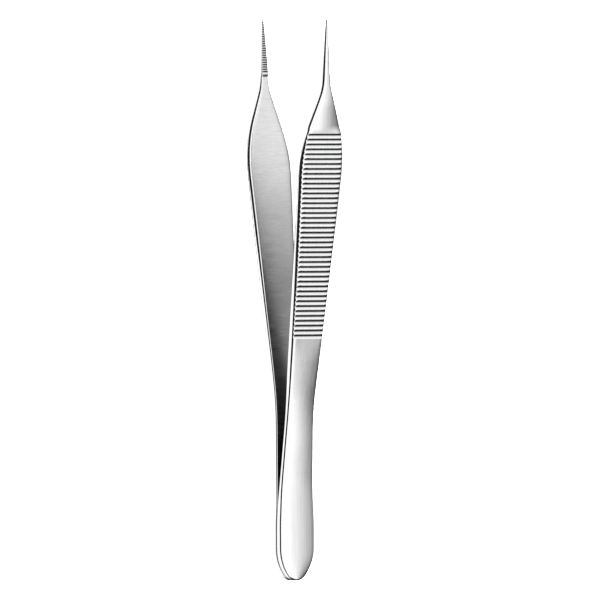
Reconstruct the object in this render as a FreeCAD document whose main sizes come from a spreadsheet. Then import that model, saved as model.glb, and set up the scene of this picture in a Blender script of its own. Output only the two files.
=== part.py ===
import FreeCAD, Part
import math
import os
import Sketcher

# Thumb forceps with fine serrated tips and a wide ribbed grip, in millimetres.
# Two sprung steel arms lie face to face at the butt, where they are welded, and stand apart from there to
# the tips. X is the way the arms open, Y runs from the butt to the tips, and Z is up: the forceps lies on the
# long edges of its arms. The origin is on the surface it lies on, under the middle of its length.
# The near arm is modelled with its butt at Y = 0 and its width about Z = 0, and then placed.

doc = FreeCAD.newDocument("thumb_forceps")
sheet = doc.addObject("Spreadsheet::Sheet", "sizes")

driving = {
    "armLength": 120.0,
    # the stations below are for an arm of this length, and they stretch with the arm
    "patternLength": 120.0,
    # the arm seen from the side: heights above the plane where the arms meet, and radii of the bends
    "weldBend": 50.0,
    "springRise": 1.7,
    "springBend": 200.0,
    "shoulderRise": 9.4,
    "shoulderBend": 120.0,
    "tipRise": 11.2,
    "tipThickness": 0.45,
    "buttThickness": 1.6,
    "buttEdge": 0.3,
    "thinRise": 1.17,
    "thinBend": 80.0,
    "neckRise": 2.36,
    "neckBend": 120.0,
    "gripRise": 8.36,
    "gripBow": 900.0,
    "crestRise": 11.6,
    "crestBend": 40.0,
    # the arm seen from the front: half widths at the corners of the outline, and radii there
    "noseHalf": 1.6,
    "noseRadius": 2.9,
    "buttHalf": 4.7,
    "buttRadius": 9.0,
    "heelHalf": 4.8,
    "heelRadius": 50.0,
    "waistHalf": 3.66,
    "waistRadius": 110.0,
    "shoulderHalf": 5.95,
    "shoulderRadius": 30.0,
    "tongueHalf": 1.1,
    "tongueRadius": 12.0,
    "tipHalf": 0.26,
    "tipRadius": 0.2,
    "margin": 5.0,
    # serrated pad on the inner face of the tip
    "padRamp": 0.6,
    "padHeight": 0.22,
    # radii of the eased long edges on the slim part, on the grip and on the fine tip
    "outerSlimEdge": 0.3,
    "outerGripEdge": 0.95,
    "outerTipEdge": 0.15,
    "innerSlimEdge": 0.4,
    "innerGripEdge": 0.65,
    "innerTipEdge": 0.1,
    # each eased edge is two flats, turned by these angles from the face
    "firstFlat": 30.0,
    "secondFlat": 60.0,
    # ribs and teeth
    "ribPitch": 1.046,
    "ribRadius": 0.54,
    "ribDepth": 0.3,
    "toothPitch": 0.5,
    "toothDepth": 0.16,
    "toothWidth": 0.38,
}
stations = {
    # distances from the butt: bends of the side view, corners of the front view, changes of the eased edges,
    # and the first and last of the ribs and of the teeth
    "weldLength": 16.0,
    "springEnd": 42.0,
    "shoulderEnd": 97.0,
    "thinAlong": 19.5,
    "neckAlong": 36.0,
    "gripAlong": 74.0,
    "crestAlong": 103.5,
    "buttAlong": 4.0,
    "heelAlong": 12.0,
    "waistAlong": 37.0,
    "shoulderAlong": 92.4,
    "tongueAlong": 105.5,
    "padAlong": 107.6,
    "outerSlimEnd": 38.0,
    "outerGripStart": 75.0,
    "outerGripEnd": 90.0,
    "outerTipStart": 119.0,
    "innerSlimEnd": 55.0,
    "innerGripStart": 74.0,
    "innerGripEnd": 90.0,
    "innerTipStart": 107.0,
    "ribFirst": 52.54,
    "ribLast": 95.43,
    "toothFirst": 108.7,
    "toothLast": 119.2,
}
for row, (name, size) in enumerate({**driving, **stations}.items(), start=1):
    sheet.set(f"A{row}", name)
    sheet.set(f"B{row}", str(size))
    sheet.setAlias(f"B{row}", name)
doc.recompute()


def cells(expression):
    # writes the sheet's name before each alias of an expression, and stretches the stations with the arm
    words = []
    word = ""
    for letter in expression + " ":
        if letter.isalnum():
            word += letter
            continue
        if word in stations:
            words.append(f"(sizes.{word}*sizes.armLength/sizes.patternLength)")
        else:
            words.append(f"sizes.{word}" if word in driving else word)
        words.append(letter)
        word = ""
    return "".join(words).strip()


def value(expression):
    found = sheet.evalExpression(cells(expression))
    return float(getattr(found, "Value", found))


def bind(sketch, constraint, expression):
    index = sketch.addConstraint(constraint)
    sketch.setExpression(f"Constraints[{index}]", cells(expression))


def place_point(sketch, geometry, position, along, across):
    # a zero is the sketch's own axis, any other place is a bound distance from its origin
    if along == "0":
        sketch.addConstraint(Sketcher.Constraint("PointOnObject", geometry, position, -2))
    else:
        bind(sketch, Sketcher.Constraint("DistanceX", -1, 1, geometry, position, value(along)), along)
    if across == "0":
        sketch.addConstraint(Sketcher.Constraint("PointOnObject", geometry, position, -1))
    else:
        bind(sketch, Sketcher.Constraint("DistanceY", -1, 1, geometry, position, value(across)), across)


def draw_outline(sketch, corners):
    # closed outline of straight runs through bound corners, each corner sharp or rounded by an arc that touches
    # both its runs; returns the arcs by the name of their radius
    points = [FreeCAD.Vector(value(along), value(across), 0) for along, across, radius in corners]
    count = len(corners)
    starts, ends, centres = [], [], []
    for k, (along, across, radius) in enumerate(corners):
        back = (points[k - 1] - points[k]).normalize()
        ahead = (points[(k + 1) % count] - points[k]).normalize()
        half = back.getAngle(ahead) / 2
        reach = value(radius) / math.tan(half) if radius else 0
        starts.append(points[k] + back * reach)
        ends.append(points[k] + ahead * reach)
        inward = (back + ahead).normalize()
        centres.append(points[k] + inward * (value(radius) / math.sin(half)) if radius else None)
    runs = []
    for k in range(count):
        runs.append(sketch.addGeometry(Part.LineSegment(ends[k], starts[(k + 1) % count]), False))
    arcs = {}
    for k, (along, across, radius) in enumerate(corners):
        before, after = runs[k - 1], runs[k]
        if radius is None:
            sketch.addConstraint(Sketcher.Constraint("Coincident", before, 2, after, 1))
            place_point(sketch, after, 1, along, across)
            continue
        turn = (points[k] - points[k - 1]).cross(points[(k + 1) % count] - points[k]).z
        first, last = (starts[k], ends[k]) if turn > 0 else (ends[k], starts[k])
        from_centre = [first - centres[k], last - centres[k]]
        angles = [math.atan2(arm.y, arm.x) for arm in from_centre]
        circle = Part.Circle(centres[k], FreeCAD.Vector(0, 0, 1), value(radius))
        arc = sketch.addGeometry(Part.ArcOfCircle(circle, angles[0], angles[1]), False)
        corner = sketch.addGeometry(Part.Point(points[k]), True)
        arc_start, arc_end = (1, 2) if turn > 0 else (2, 1)
        sketch.addConstraint(Sketcher.Constraint("Tangent", before, 2, arc, arc_start))
        sketch.addConstraint(Sketcher.Constraint("Tangent", arc, arc_end, after, 1))
        sketch.addConstraint(Sketcher.Constraint("PointOnObject", corner, 1, before))
        sketch.addConstraint(Sketcher.Constraint("PointOnObject", corner, 1, after))
        bind(sketch, Sketcher.Constraint("Radius", arc, value(radius)), radius)
        place_point(sketch, corner, 1, along, across)
        arcs[radius] = arc
    return arcs


def measure_centre(sketch, arc, direction, name):
    # a reference dimension from the centre of an arc to the sketch's origin, which other objects can read
    index = sketch.addConstraint(Sketcher.Constraint(direction, arc, 3, -1, 1, 1.0))
    sketch.setDriving(index, False)
    sketch.renameConstraint(index, name)


def new_sketch(body, name, role):
    sketch = body.newObject("Sketcher::SketchObject", name)
    sketch.AttachmentSupport = [(origin_plane(body, role), "")]
    sketch.MapMode = "FlatFace"
    return sketch


def origin_plane(body, role):
    return next(part for part in body.Origin.OriginFeatures if part.Role == role)


blank = doc.addObject("PartDesign::Body", "arm_blank")

tip_slope = "(tipRise - shoulderRise)/(armLength - shoulderEnd)"
pad_rise = f"shoulderRise + (padAlong + padRamp - shoulderEnd)*{tip_slope} - padHeight"

side = new_sketch(blank, "side_profile", "XY_Plane")
side_corners = [
    ("0", "0", "buttEdge"),
    ("buttThickness", "0", "buttEdge"),
    ("thinRise", "thinAlong", "thinBend"),
    ("neckRise", "neckAlong", "neckBend"),
    ("gripRise", "gripAlong", "gripBow"),
    ("crestRise", "crestAlong", "crestBend"),
    ("tipRise - padHeight + tipThickness", "armLength", None),
    ("tipRise - padHeight", "armLength", None),
    (pad_rise, "padAlong + padRamp", None),
    (f"shoulderRise + (padAlong - shoulderEnd)*{tip_slope}", "padAlong", None),
    ("shoulderRise", "shoulderEnd", "shoulderBend"),
    ("springRise", "springEnd", "springBend"),
    ("0", "weldLength", "weldBend"),
]
side_arcs = draw_outline(side, side_corners)
measure_centre(side, side_arcs["gripBow"], "DistanceX", "bowRise")
measure_centre(side, side_arcs["gripBow"], "DistanceY", "bowAlong")
slab = blank.newObject("PartDesign::Pad", "slab")
slab.Profile = side
slab.Midplane = True
slab.setExpression("Length", cells("2*(shoulderHalf + margin)"))

# the front outline: what lies outside one half of it is cut away, and the cut is mirrored to the other half
front = new_sketch(blank, "front_outline", "YZ_Plane")
half_outline = [
    ("0", "0", None),
    ("0", "noseHalf", "noseRadius"),
    ("buttAlong", "buttHalf", "buttRadius"),
    ("heelAlong", "heelHalf", "heelRadius"),
    ("waistAlong", "waistHalf", "waistRadius"),
    ("shoulderAlong", "shoulderHalf", "shoulderRadius"),
    ("tongueAlong", "tongueHalf", "tongueRadius"),
    ("armLength", "tipHalf", "tipRadius"),
    ("armLength", "0", None),
    ("armLength + margin", "0", None),
    ("armLength + margin", "2*shoulderHalf", None),
    ("-margin", "2*shoulderHalf", None),
    ("-margin", "0", None),
]
front_arcs = draw_outline(front, half_outline)
measure_centre(front, front_arcs["shoulderRadius"], "DistanceY", "shoulderCentre")
trim = blank.newObject("PartDesign::Pocket", "trim")
trim.Profile = front
trim.Type = "ThroughAll"
trim.Midplane = True
doc.recompute()

# the long edges are eased by narrow flats, two to an edge, which follow the rounding of the real edge;
# each flat is cut along a line of short straight runs, worked out from the trimmed slab
flat_runs = 44
end_clearance = 0.001


def edge_radius(along, side_name):
    # even on the slim part and on the grip, changing evenly between them, and smaller again on the fine tip
    slim, grip, tip = (value(f"{side_name}{place}Edge") for place in ("Slim", "Grip", "Tip"))
    slim_end, grip_start = value(f"{side_name}SlimEnd"), value(f"{side_name}GripStart")
    grip_end, tip_start = value(f"{side_name}GripEnd"), value(f"{side_name}TipStart")
    rise = min(max((along - slim_end) / (grip_start - slim_end), 0), 1)
    fall = min(max((along - grip_end) / (tip_start - grip_end), 0), 1)
    return slim + (grip - slim) * rise + (tip - grip) * fall


def metal_along(start, direction):
    # the part of a straight line that lies inside the trimmed slab
    reach = value("crestRise + margin")
    return trim.Shape.common(Part.makeLine(start - direction * reach, start + direction * reach)).BoundBox


def measure_arm():
    # places of the inner and outer faces and half the width, at stations closer together near both ends
    length = value("armLength")
    measured = []
    for k in range(flat_runs + 1):
        along = length * (1 - math.cos(math.pi * k / flat_runs)) / 2
        inside = min(max(along, end_clearance), length - end_clearance)
        thick = metal_along(FreeCAD.Vector(0, inside, 0), FreeCAD.Vector(1, 0, 0))
        middle = (thick.XMin + thick.XMax) / 2
        half = metal_along(FreeCAD.Vector(middle, inside, 0), FreeCAD.Vector(0, 0, 1)).ZMax
        measured.append((along, thick.XMin, thick.XMax, half))
    return measured


def ease_edge(side_name, turn_name):
    # cuts one flat along a long edge, touching the circle of the edge's radius
    turn = math.radians(value(turn_name))
    flat = new_sketch(blank, f"{side_name}_{turn_name}", "XY_Plane")
    angle = -math.degrees(turn) if side_name == "outer" else math.degrees(turn) - 180
    tilt = FreeCAD.Rotation(FreeCAD.Vector(0, 1, 0), angle)
    flat.AttachmentOffset = FreeCAD.Placement(FreeCAD.Vector(), tilt)
    line = []
    for along, inner, outer, half in rows:
        rise = outer if side_name == "outer" else -inner
        corner = rise * math.cos(turn) + half * math.sin(turn)
        ease = edge_radius(along, side_name) * (math.cos(turn) + math.sin(turn) - 1)
        line.append(FreeCAD.Vector(corner - ease, along, 0))
    start, end = -value("margin"), value("armLength + margin")
    beyond = value("crestRise + shoulderHalf + margin")
    line.insert(0, FreeCAD.Vector(line[0].x, start, 0))
    line.append(FreeCAD.Vector(line[-1].x, end, 0))
    line.append(FreeCAD.Vector(beyond, end, 0))
    line.append(FreeCAD.Vector(beyond, start, 0))
    for here, following in zip(line, line[1:] + line[:1]):
        flat.addGeometry(Part.LineSegment(here, following), False)
    cut = blank.newObject("PartDesign::Pocket", f"{side_name}_{turn_name}_cut")
    cut.Profile = flat
    cut.Type = "ThroughAll"
    cut.Midplane = True
    doc.recompute()
    return cut


rows = measure_arm()
eased = []
for side_name in ("inner", "outer"):
    for turn_name in ("firstFlat", "secondFlat"):
        eased.append(ease_edge(side_name, turn_name))
both_sides = blank.newObject("PartDesign::Mirrored", "both_sides")
both_sides.Originals = [trim, *eased]
both_sides.MirrorPlane = (origin_plane(blank, "XY_Plane"), [""])
blank.Tip = both_sides
doc.recompute()

# the finished arm: ribs across the outer face of the grip and teeth across the inner face of the tip
near = doc.addObject("PartDesign::Body", "near_arm")
near.Label = "near_arm"
near.BaseFeature = blank
doc.recompute()

# the ribs' sketch has its origin at the centre of the grip's bow, so that the pattern can turn about it
rib = new_sketch(near, "rib_section", "XY_Plane")
rib.setExpression("AttachmentOffset.Base.x", "-side_profile.Constraints.bowRise")
rib.setExpression("AttachmentOffset.Base.y", "-side_profile.Constraints.bowAlong")
doc.recompute()
reach = value("gripBow + ribRadius - ribDepth")
drop = rib.AttachmentOffset.Base.y - value("ribFirst")
centre = FreeCAD.Vector(math.sqrt(reach * reach - drop * drop), -drop, 0)
scallop = rib.addGeometry(Part.Circle(centre, FreeCAD.Vector(0, 0, 1), value("ribRadius")), False)
bind(rib, Sketcher.Constraint("Radius", scallop, value("ribRadius")), "ribRadius")
bind(rib, Sketcher.Constraint("Distance", -1, 1, scallop, 3, reach), "gripBow + ribRadius - ribDepth")
index = rib.addConstraint(Sketcher.Constraint("DistanceY", scallop, 3, -1, 1, drop))
rib.setExpression(f"Constraints[{index}]", "-side_profile.Constraints.bowAlong/(1 mm) - " + cells("ribFirst"))
first_rib = near.newObject("PartDesign::Pocket", "first_rib")
first_rib.Profile = rib
first_rib.Type = "ThroughAll"
first_rib.Midplane = True
ribs = near.newObject("PartDesign::PolarPattern", "ribs")
ribs.Originals = [first_rib]
ribs.Axis = (rib, ["N_Axis"])
rib_gaps = "round((ribLast - ribFirst)/ribPitch)"
ribs.setExpression("Angle", cells(f"{rib_gaps}*ribPitch/gripBow*180/pi"))
ribs.setExpression("Occurrences", cells(f"{rib_gaps} + 1"))
near.Tip = ribs
doc.recompute()

# the teeth's sketch lies along the pad
tooth = new_sketch(near, "tooth_section", "XY_Plane")
lean = FreeCAD.Rotation(FreeCAD.Vector(0, 0, 1), value(f"-atan({tip_slope})"))
tooth.AttachmentOffset = FreeCAD.Placement(FreeCAD.Vector(), lean)
pad_at_tooth = f"shoulderRise + (toothFirst - shoulderEnd)*{tip_slope} - padHeight"
tooth.setExpression("AttachmentOffset.Base.x", cells(pad_at_tooth))
tooth.setExpression("AttachmentOffset.Base.y", cells("toothFirst"))
tooth.setExpression("AttachmentOffset.Rotation.Angle", cells(f"-atan({tip_slope})"))
doc.recompute()
tooth_corners = [
    ("-toothDepth", "-toothWidth", None),
    ("toothDepth", "0", None),
    ("-toothDepth", "toothWidth", None),
]
draw_outline(tooth, tooth_corners)
first_tooth = near.newObject("PartDesign::Pocket", "first_tooth")
first_tooth.Profile = tooth
first_tooth.Type = "ThroughAll"
first_tooth.Midplane = True
teeth = near.newObject("PartDesign::LinearPattern", "teeth")
teeth.Originals = [first_tooth]
teeth.Direction = (tooth, ["V_Axis"])
tooth_gaps = "round((toothLast - toothFirst)/toothPitch)"
teeth.setExpression("Length", cells(f"{tooth_gaps}*toothPitch"))
teeth.setExpression("Occurrences", cells(f"{tooth_gaps} + 1"))
near.Tip = teeth
doc.recompute()
near.setExpression("Placement.Base.y", cells("-armLength/2"))
widest = "shoulderRadius - front_outline.Constraints.shoulderCentre/(1 mm)"
near.setExpression("Placement.Base.z", cells(widest))

far = doc.addObject("Part::Mirroring", "far_arm")
far.Label = "far_arm"
far.Source = near
far.Base = FreeCAD.Vector(0, 0, 0)
far.Normal = FreeCAD.Vector(1, 0, 0)
doc.recompute()

for thing in doc.Objects:
    if "Invalid" in thing.State or "Error" in thing.State:
        raise SystemExit(f"{thing.Name} failed: {thing.State}")

# each step after the slab takes metal away
steps = [slab, trim, *eased, both_sides, first_rib, ribs, first_tooth, teeth]
for before, after in zip(steps, steps[1:]):
    if not 0 < after.Shape.Volume < before.Shape.Volume:
        raise SystemExit(f"{after.Name} takes nothing away")

arms = [near, far]
for arm in arms:
    if arm.Shape.isNull() or not arm.Shape.isValid() or len(arm.Shape.Solids) != 1:
        raise SystemExit(f"{arm.Label} is not one valid solid")

os.makedirs("parts", exist_ok=True)
for arm in arms:
    arm.Shape.exportStep(f"parts/{arm.Label}.step")
    print(arm.Label, round(arm.Shape.Volume, 2), "mm3")
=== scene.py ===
import math

import bmesh
import bpy
import numpy as np
from mathutils import Matrix, Vector


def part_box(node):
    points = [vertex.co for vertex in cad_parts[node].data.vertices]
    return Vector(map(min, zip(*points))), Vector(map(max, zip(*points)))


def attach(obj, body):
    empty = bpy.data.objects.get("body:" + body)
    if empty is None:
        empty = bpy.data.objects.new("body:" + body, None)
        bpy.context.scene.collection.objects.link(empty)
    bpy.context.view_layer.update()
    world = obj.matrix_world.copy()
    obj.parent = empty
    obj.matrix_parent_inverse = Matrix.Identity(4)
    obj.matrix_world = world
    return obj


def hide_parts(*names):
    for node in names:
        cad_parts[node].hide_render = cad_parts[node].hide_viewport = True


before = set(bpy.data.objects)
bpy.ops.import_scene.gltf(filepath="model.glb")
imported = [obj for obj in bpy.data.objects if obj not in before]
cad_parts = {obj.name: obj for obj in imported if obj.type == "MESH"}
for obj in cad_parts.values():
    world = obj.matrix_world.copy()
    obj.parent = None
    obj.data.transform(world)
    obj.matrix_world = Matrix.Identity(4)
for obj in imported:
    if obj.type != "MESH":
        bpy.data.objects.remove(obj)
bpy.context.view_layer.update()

# Thumb forceps lying on a pale table, in metres: X is the way the arms open, Y runs to the tips and Z is up.
# The sizes of the arms are in millimetres, and their stations are distances from the butt.

mm = 0.001
lowCorner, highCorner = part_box("near_arm")
buttY = lowCorner.y
midZ = (lowCorner.z + highCorner.z) / 2

arm = {
    "length": (highCorner.y - lowCorner.y) / mm,
    # corners of the side view: station, height over the plane where the arms meet, radius of the bend there
    "innerSide": [(0, 0, 0), (16, 0, 50), (42, 1.95, 200), (97, 9.4, 120), (120, 11.2, 0)],
    "outerSide": [(0, 1.65, 0), (19.5, 1.46, 80), (36, 2.62, 120), (74, 8.36, 900),
                  (103.5, 11.6, 40), (120, 11.43, 0)],
    # corners of the front view: station, half width, radius of the corner
    "front": [(0, 0, 0), (0, 1.6, 2.9), (4, 4.55, 9), (12, 4.6, 50), (37, 3.43, 110), (92.4, 5.95, 30),
              (105.5, 1.1, 12), (120, 0.26, 0.2), (120, 0, 0)],
    # the rounded long edges: station, radius
    "outerEdge": [(0, 0.4), (40, 0.42), (70, 1.0), (90, 1.1), (96, 0.6), (109, 0.6),
                  (119, 0.34), (120, 0.3)],
    "innerEdge": [(0, 0.3), (40, 0.3), (58, 0.42), (74, 0.7), (98, 0.75), (104, 0.6),
                  (108, 0.3), (114, 0.14), (120, 0.1)],
    # how far the outer face falls away towards its long edges: station, fall
    "crown": [(0, 0.22), (38, 0.2), (47, 0.12), (51, 0.02), (51.8, 0), (95.9, 0),
              (97, 0.25), (100, 0.17), (104, 0.07), (120, 0.01)],
    # share of that fall by which the middle of the face stands proud of the side view: station, share
    "crownRise": [(0, 0.6), (52, 0.6), (95, 0), (120, 0)],
    # least half width that the crown is spread over
    "leastHalf": 0.1,
    # the outer face falls away towards the butt's end too, over this length and by this much
    "endLength": 7, "endFall": 0.25,
    # the raised pad inside the tip
    "padStart": 107.6, "padRamp": 0.6, "padHeight": 0.22,
    # faces that look inwards by more than this cosine have the inside's finish
    "insideFacing": 0.965,
}
ribs = {"first": 52.24, "pitch": 1.046, "count": 42, "radius": 0.643, "depth": 0.22}
teeth = {"first": 108.7, "pitch": 0.5, "count": 22, "depth": 0.17, "halfWidth": 0.23, "lean": 0.09}
grid = {
    # rows at the butt's end, the gaps between rows further on, and rows of half a rib and of the pad's ramp
    "buttRows": [0.0, 0.02, 0.06, 0.12, 0.2, 0.3, 0.42, 0.56, 0.72, 0.9, 1.1, 1.35, 1.6,
                 1.9, 2.2, 2.6, 3.0, 3.5],
    "neckStart": 4.0, "neckGap": 0.5, "tongueGap": 0.3, "ribRows": 7, "padRows": 5,
    # rows behind the last tooth, as shares of the way to the tip
    "tipRows": [0.2, 0.4, 0.6, 0.75, 0.86, 0.94, 0.98, 1.0],
    # columns round a long edge and from there to the middle of the face
    "edgeColumns": 9, "faceColumns": 6,
    # the columns round the edges keep within this share of the half width
    "edgeShare": 0.85,
    # points of the outlines stand this close on their arcs
    "sideStep": 0.15, "rimStep": 0.1, "widthStep": 0.05,
    # points this close become one, in metres, and edges over this angle, in degrees, are shaded sharp
    "mergeDistance": 1e-7, "sharpAngle": 38,
}


def roundedRun(corners, step):
    # a run of straight lines with an arc at each corner, as closely spaced points
    points = [Vector(corners[0][:2])]
    for before, here, after in zip(corners, corners[1:], corners[2:]):
        corner = Vector(here[:2])
        radius = here[2]
        back = (Vector(before[:2]) - corner).normalized()
        ahead = (Vector(after[:2]) - corner).normalized()
        half = back.angle(ahead) / 2
        if radius == 0 or math.isclose(half, math.pi / 2, abs_tol=1e-6):
            points.append(corner)
            continue
        reach = radius / math.tan(half)
        centre = corner + (back + ahead).normalized() * radius / math.sin(half)
        first = corner + back * reach - centre
        sweep = math.pi - 2 * half
        turn = -1 if first.cross(corner - centre) < 0 else 1
        count = max(3, math.ceil(radius * sweep / step))
        for k in range(count + 1):
            points.append(centre + Matrix.Rotation(turn * sweep * k / count, 2) @ first)
    points.append(Vector(corners[-1][:2]))
    return np.array([tuple(p) for p in points])


def along(stations, pairs):
    # reads a list of stations and values at any station
    return np.interp(stations, *np.transpose(pairs))


def armStations():
    # rows of the mesh: close at both ends and over the ribs and teeth
    rows = grid["buttRows"] + list(np.arange(grid["neckStart"], ribs["first"] - 1, grid["neckGap"]))
    halfBowl = math.acos(1 - ribs["depth"] / ribs["radius"])
    for k in range(ribs["count"]):
        middle = ribs["first"] + k * ribs["pitch"]
        for j in range(-grid["ribRows"], grid["ribRows"] + 1):
            rows.append(middle + ribs["radius"] * math.sin(halfBowl * j / grid["ribRows"]))
    rows += list(np.arange(rows[-1] + grid["tongueGap"], arm["padStart"], grid["tongueGap"]))
    rows += list(arm["padStart"] + arm["padRamp"] * np.linspace(0, 1, grid["padRows"]))
    for k in range(teeth["count"]):
        middle = teeth["first"] + k * teeth["pitch"]
        bottom = middle - teeth["lean"]
        for edge in (middle - teeth["halfWidth"], middle + teeth["halfWidth"]):
            rows += [edge, (edge + bottom) / 2]
        rows.append(bottom)
    last = max(rows)
    rows += [last + (arm["length"] - last) * share for share in grid["tipRows"]]
    return np.array(sorted(rows))


def edgeDistance(stations, across, outline):
    # how far each point lies inside the front outline
    starts = outline[:-1]
    runs = outline[1:] - starts
    squares = np.maximum((runs ** 2).sum(1), 1e-12)  # lengths squared, never zero
    best = np.full(stations.shape, np.inf)
    for start, run, square in zip(starts, runs, squares):
        t = np.clip(((stations - start[0]) * run[0] + (across - start[1]) * run[1]) / square, 0, 1)
        best = np.minimum(best, np.hypot(stations - start[0] - t * run[0], across - start[1] - t * run[1]))
    return best


def edgeDrop(distance, radius):
    # how far a rounded edge falls away from the face
    inside = np.clip(radius - distance, 0, None)
    return radius - np.sqrt(np.clip(radius ** 2 - inside ** 2, 0, None))


def crownDrop(stations, across, half):
    # how far the slightly domed outer face lies under the side view's line
    outwards = (across / half.clip(arm["leastHalf"])) ** 2
    dome = along(stations, arm["crown"]) * (outwards - along(stations, arm["crownRise"]))
    return dome + arm["endFall"] * np.clip(1 - stations / arm["endLength"], 0, 1) ** 2


def ribCut(stations):
    # round hollows, which leave a narrow rib between each two
    cut = np.zeros_like(stations)
    for k in range(ribs["count"]):
        offset = stations - ribs["first"] - k * ribs["pitch"]
        bowl = np.sqrt(np.clip(ribs["radius"] ** 2 - offset ** 2, 0, None)) - ribs["radius"] + ribs["depth"]
        cut = np.maximum(cut, bowl)
    return cut


def toothCut(stations):
    cut = np.zeros_like(stations)
    for k in range(teeth["count"]):
        # the notch leans, with its wide flank towards the tips
        offset = stations - teeth["first"] - k * teeth["pitch"] + teeth["lean"]
        reach = teeth["halfWidth"] + np.where(offset > 0, teeth["lean"], -teeth["lean"])
        cut = np.maximum(cut, teeth["depth"] * (1 - np.abs(offset) / reach))
    return cut


def armColumns(stations):
    # lines from butt to tip, once round the arm: the height and the place across at every station
    bend = np.linspace(0, math.pi / 2, grid["edgeColumns"] + 1)
    inset = np.concatenate([1 - np.cos(bend), np.ones(grid["faceColumns"] - 1)])
    share = np.concatenate([np.zeros(len(bend)), np.linspace(0, 1, grid["faceColumns"] + 1)[1:-1]])
    half = along(stations, roundedRun(arm["front"], grid["widthStep"])[1:])
    outline = roundedRun(arm["front"], grid["rimStep"])
    columns = []
    for face in ("outer", "inner"):
        radius = along(stations, arm[face + "Edge"])
        rim = np.minimum(radius, half * grid["edgeShare"])
        line = along(stations, roundedRun(arm[face + "Side"], grid["sideStep"]))
        places = [half - rim * i - (half - rim) * s for i, s in zip(inset, share)] + [half * 0]
        places = places + [-p for p in reversed(places[:-1])]
        if face == "inner":
            places.reverse()
            line = line - arm["padHeight"] * np.clip((stations - arm["padStart"]) / arm["padRamp"], 0, 1)
        for place in places:
            drop = edgeDrop(edgeDistance(stations, np.abs(place), outline), radius)
            if face == "outer":
                height = line - crownDrop(stations, place, half) - np.maximum(drop, ribCut(stations))
            else:
                height = line + np.maximum(drop, toothCut(stations))
            columns.append((height, place))
    return columns


def buildArm(name, side):
    # a grid rolled up into a tube: its rows are stations along the arm, and its columns go round the section
    stations = armStations()
    columns = armColumns(stations)
    around = len(columns)
    bm = bmesh.new()
    bmesh.ops.create_grid(bm, x_segments=around, y_segments=len(stations) - 1, size=1)
    order = sorted(bm.verts, key=lambda v: (round(v.co.y, 6), round(v.co.x, 6)))
    for index, vert in enumerate(order):
        row, column = divmod(index, around + 1)
        height, place = columns[column % around]
        vert.co = (side * height[row] * mm, buttY + stations[row] * mm, midZ + place[row] * mm)
    bmesh.ops.remove_doubles(bm, verts=bm.verts, dist=grid["mergeDistance"])
    bmesh.ops.holes_fill(bm, edges=[e for e in bm.edges if e.is_boundary], sides=0)
    bmesh.ops.recalc_face_normals(bm, faces=bm.faces)
    mesh = bpy.data.meshes.new(name)
    bm.to_mesh(mesh)
    bm.free()
    mesh.shade_smooth()
    mesh.set_sharp_from_angle(angle=math.radians(grid["sharpAngle"]))
    for face in mesh.polygons:
        face.material_index = 1 if face.normal.x * side < -arm["insideFacing"] else 0
    piece = bpy.data.objects.new(name, mesh)
    bpy.context.scene.collection.objects.link(piece)
    print(name, len(mesh.polygons), "faces")
    return piece


steel = {
    # polished, with fine lines along the arm
    "outside": {
        "colour": 0.71, "tint": (1.0, 1.0, 1.008), "roughness": 0.13, "spread": 0.05,
        # how fast the lines change along X, Y and Z, the height of their bumps and how much they shade
        "grain": (9000, 250, 9000), "bump": 0.0000012, "shade": 0.05,
    },
    # satin, with coarser lines across the arm
    "inside": {
        "colour": 0.75, "tint": (1.0, 1.0, 1.004), "roughness": 0.36, "spread": 0.1,
        "grain": (2000, 7000, 500), "bump": 0.0000015, "shade": 0.1,
        # painted shade: the face is darkened towards the butt, where the arms close in and less light reaches
        # between them:
        # station, brightness
        "along": [(0, 0.12), (24, 0.16), (34, 0.25), (50, 0.32), (57, 0.34), (63, 0.36), (69.5, 0.49),
                  (76, 0.62), (82, 0.75), (88, 0.89), (97, 0.98), (120, 1.0)],
    },
    # broad streaks change at this share of the lines' pace
    "streaks": 0.22,
    # duller patches to the metre, and how much rougher the dullest is than the brightest
    "patches": 140, "patchSpread": 0.06,
    # edges are rubbed this wide, in metres, and smoother by this share
    "rubbedWidth": 0.00025, "rubbedShine": 0.1,
    # the part of a noise's range that is used, and of the patches' range
    "noiseRange": (0.3, 0.7), "patchRange": (0.35, 0.65),
    # the cosine between the face and its rounded form where the rubbing is full and where it ends
    "rubbedRange": (0.9, 0.995),
}


def nodeMaker(tree):
    # makes a node with its settings, its fixed values and its links in one go, and returns one of its outputs
    def make(kind, settings, inputs, output=0):
        node = tree.nodes.new("ShaderNode" + kind)
        for name, value in settings.items():
            setattr(node, name, value)
        for name, value in inputs.items():
            if isinstance(value, bpy.types.NodeSocket):
                tree.links.new(value, node.inputs[name])
            else:
                node.inputs[name].default_value = value
        return node.outputs[output]
    return make


def makeCurve(make, value, points, clip=True, handles="AUTO"):
    # a curve through a list of places from 0 to 1 and their levels, which stay under 1 if it clips
    result = make("FloatCurve", {}, {"Value": value})
    mapping = result.node.mapping
    mapping.use_clip = clip
    line = mapping.curves[0]
    for index, point in enumerate(points):
        if index < len(line.points):
            line.points[index].location = point
        else:
            line.points.new(*point)
    for point in line.points:
        point.handle_type = handles
    mapping.update()
    return result


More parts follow.
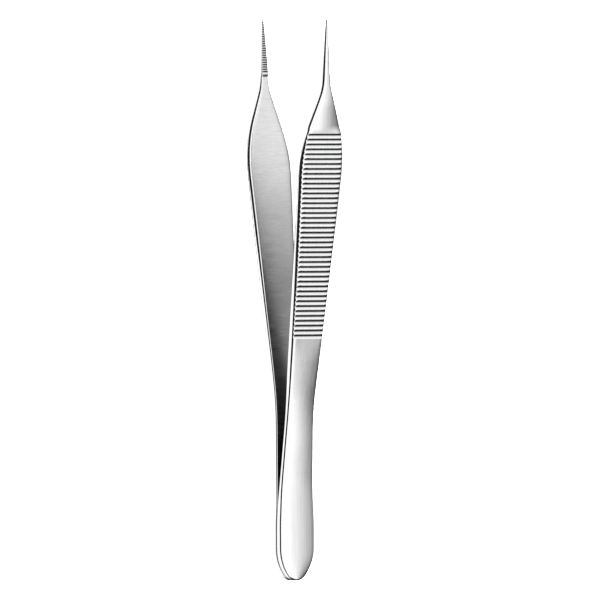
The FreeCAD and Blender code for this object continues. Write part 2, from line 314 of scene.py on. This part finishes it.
def makeSteel(name):
    finish = steel[name]
    material = bpy.data.materials.new(name + "Steel")
    material.use_nodes = True
    make = nodeMaker(material.node_tree)

    def remap(value, low, high, start=0.0, end=1.0):
        return make("MapRange", {}, {"Value": value, "From Min": start, "From Max": end,
                                     "To Min": low, "To Max": high})

    place = make("TexCoord", {}, {}, "Object")
    # fine drawn-out lines of the polish, with a broken second layer
    fine = make("VectorMath", {"operation": "MULTIPLY"}, {0: place, 1: finish["grain"]})
    grain = make("TexNoise", {}, {"Vector": fine, "Scale": 1.0, "Detail": 4.0, "Roughness": 0.65})
    pace = [steel["streaks"] * v for v in finish["grain"]]
    broad = make("VectorMath", {"operation": "MULTIPLY"}, {0: place, 1: pace})
    streaks = make("TexNoise", {}, {"Vector": broad, "Scale": 1.0, "Detail": 3.0})
    # patches where the polish is duller
    patches = make("TexNoise", {}, {"Vector": place, "Scale": steel["patches"], "Detail": 5.0})
    # rubbed, shinier edges
    rounded = make("Bevel", {"samples": 4}, {"Radius": steel["rubbedWidth"]})
    facing = make("NewGeometry", {}, {}, "Normal")
    alike = make("VectorMath", {"operation": "DOT_PRODUCT"}, {0: rounded, 1: facing}, "Value")
    rubbed = remap(alike, 1.0, 0.0, *steel["rubbedRange"])
    # light and dark of the lines, and painted shade along the arm
    dark, light = 1 - finish["shade"], 1 + finish["shade"]
    shade = make("Math", {"operation": "MULTIPLY"}, {
        0: remap(grain, dark, light, *steel["noiseRange"]),
        1: remap(streaks, dark, light, *steel["noiseRange"])})
    # painted shade: the inside face grows darker towards the butt, between the arms
    if "along" in finish:
        station = make("SeparateXYZ", {}, {0: place}, "Y")
        share = remap(station, 0.0, 1.0, buttY, buttY + arm["length"] * mm)
        paintedShade = makeCurve(make, share, [(s / arm["length"], level) for s, level in finish["along"]])
        shade = make("Math", {"operation": "MULTIPLY"}, {0: shade, 1: paintedShade})
    colour = make("VectorMath", {"operation": "SCALE"}, {
        0: [finish["colour"] * t for t in finish["tint"]], "Scale": shade})
    low, high = finish["roughness"] - finish["spread"], finish["roughness"] + finish["spread"]
    duller = steel["patchSpread"] / 2
    roughness = make("Math", {"operation": "ADD"}, {
        0: remap(streaks, low, high, *steel["noiseRange"]),
        1: remap(patches, -duller, duller, *steel["patchRange"])})
    roughness = make("Math", {"operation": "SUBTRACT", "use_clamp": True}, {
        0: roughness, 1: remap(rubbed, 0.0, steel["rubbedShine"] * finish["roughness"])})
    bump = make("Bump", {}, {"Height": grain, "Strength": 1.0, "Distance": finish["bump"]})
    shader = material.node_tree.nodes["Principled BSDF"]
    shader.inputs["Metallic"].default_value = 1
    for socket, source in (("Base Color", colour), ("Roughness", roughness), ("Normal", bump)):
        material.node_tree.links.new(source, shader.inputs[socket])
    return material


# the paper that the forceps lies on; its size is in metres
paper = {"halfSize": 1.5, "colour": 0.9, "roughness": 0.9, "glow": 0.75}


def makeStage():
    bm = bmesh.new()
    bmesh.ops.create_grid(bm, x_segments=1, y_segments=1, size=paper["halfSize"])
    mesh = bpy.data.meshes.new("table")
    bm.to_mesh(mesh)
    bm.free()
    table = bpy.data.objects.new("table", mesh)
    bpy.context.scene.collection.objects.link(table)
    material = bpy.data.materials.new("palePaper")
    material.use_nodes = True
    shader = material.node_tree.nodes["Principled BSDF"]
    shader.inputs["Base Color"].default_value = (*[paper["colour"]] * 3, 1)
    shader.inputs["Roughness"].default_value = paper["roughness"]
    shader.inputs["Specular IOR Level"].default_value = 0.0
    # it glows like a light table, so the shadow stays faint
    shader.inputs["Emission Color"].default_value = (1, 1, 1, 1)
    shader.inputs["Emission Strength"].default_value = paper["glow"]
    mesh.materials.append(material)
    table.visible_glossy = False


# the lamp lights the table and shows in no reflection
overhead = {"place": (0.0, 0.0, 0.8), "size": (1.2, 1.2), "power": 45}


def makeLamp():
    lamp = bpy.data.lights.new("overhead", "AREA")
    lamp.shape = "RECTANGLE"
    lamp.size, lamp.size_y = overhead["size"]
    lamp.energy = overhead["power"]
    thing = bpy.data.objects.new("overhead", lamp)
    thing.location = overhead["place"]
    toTable = Vector((0, 0, 0)) - Vector(overhead["place"])
    thing.rotation_euler = toTable.to_track_quat("-Z", "Y").to_euler()
    thing.visible_glossy = False
    bpy.context.scene.collection.objects.link(thing)


room = {
    "strength": 1.5,
    # brightness by the height of the direction that the steel mirrors: 0 is straight down, 1 straight up
    "height": [(0.0, 0.1), (0.10, 0.25), (0.20, 0.8), (0.29, 1.05), (0.5, 1.0), (1.0, 1.0)],
    # the dark strip overhead: where its middle stands, cosines where it begins and is full, brightness there
    "strip": ((0.208, 0.0, 0.978), 0.72, 0.78, 0.01),
    # soft-edged cards in the same way
    "cards": [
        ((0.1, -0.79, -0.6), 0.51, 0.80, 0.03),
        ((-0.96, 0.0, -0.29), 0.69, 0.85, 0.03),
        ((0.0, 0.8, -0.6), 0.5, 0.9, 1.25),
    ],
}


def makeCard(make, direction, toCard, begins, full, level):
    # one soft-edged card, as a factor
    middle = Vector(toCard).normalized()
    facing = make("VectorMath", {"operation": "DOT_PRODUCT"}, {0: direction, 1: middle}, "Value")
    return make("MapRange", {"interpolation_type": "SMOOTHSTEP"}, {
        "Value": facing, "From Min": begins, "From Max": full, "To Min": 1, "To Max": level})


def makeRoom():
    # a pale room with a long dark strip overhead and a few cards standing round the table
    world = bpy.data.worlds.new("room")
    world.use_nodes = True
    make = nodeMaker(world.node_tree)
    direction = make("TexCoord", {}, {}, "Generated")
    height = make("SeparateXYZ", {}, {0: direction}, "Z")
    height = make("MapRange", {}, {"Value": height, "From Min": -1, "From Max": 1})
    brightness = makeCurve(make, height, room["height"], clip=False, handles="AUTO_CLAMPED")
    # the strip runs the whole length of the room, so only the direction across the room counts for it
    across = make("VectorMath", {"operation": "MULTIPLY"}, {0: direction, 1: (1, 0, 1)})
    across = make("VectorMath", {"operation": "NORMALIZE"}, {0: across})
    factors = [makeCard(make, across, *room["strip"])]
    factors += [makeCard(make, direction, *values) for values in room["cards"]]
    for factor in factors:
        brightness = make("Math", {"operation": "MULTIPLY"}, {0: brightness, 1: factor})
    # the camera itself sees plain white
    seen = make("LightPath", {}, {}, "Is Camera Ray")
    brightness = make("Math", {"operation": "MAXIMUM"}, {0: brightness, 1: seen})
    background = world.node_tree.nodes["Background"]
    background.inputs["Strength"].default_value = room["strength"]
    world.node_tree.links.new(brightness, background.inputs["Color"])
    bpy.context.scene.world = world


shot = {
    # degrees above the table on the near arm's side, degrees towards the tips, and the turn of the frame
    "elevation": 38, "lean": 0.7, "roll": 0.14,
    # metres: width of the frame at the forceps, distance, aim off the forceps' middle, and end of the view
    "width": 0.1282, "distance": 5.0, "aimAcross": 0.0013, "clipEnd": 20,
    "sensor": 36,  # millimetres
}


def makeCamera():
    elevation = math.radians(shot["elevation"])
    lean = math.radians(shot["lean"])
    flat = Vector((math.cos(elevation), 0, math.sin(elevation)))
    toCamera = (flat * math.cos(lean) + Vector((0, 1, 0)) * math.sin(lean)).normalized()
    right = Vector((math.sin(elevation), 0, -math.cos(elevation)))
    up = toCamera.cross(right)
    turn = Matrix((right, up, toCamera)).transposed() @ Matrix.Rotation(math.radians(shot["roll"]), 3, "Z")
    aim = Vector((0, 0, midZ)) + right * shot["aimAcross"]
    camera = bpy.data.cameras.new("camera")
    camera.sensor_width = shot["sensor"]
    camera.lens = shot["sensor"] * shot["distance"] / shot["width"]
    camera.clip_end = shot["clipEnd"]
    thing = bpy.data.objects.new("camera", camera)
    thing.matrix_world = Matrix.Translation(aim + toCamera * shot["distance"]) @ turn.to_4x4()
    bpy.context.scene.collection.objects.link(thing)
    bpy.context.scene.camera = thing


finishes = [makeSteel("outside"), makeSteel("inside")]
print("steel done")
for name, side in (("near_arm", 1), ("far_arm", -1)):
    piece = buildArm(name.replace("_arm", "Arm"), side)
    for finish in finishes:
        piece.data.materials.append(finish)
    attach(piece, "root")
    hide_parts(name)
print("arms done")
makeStage()
makeLamp()
makeRoom()
makeCamera()
bpy.context.scene.view_settings.view_transform = "Standard"
print("scene done")
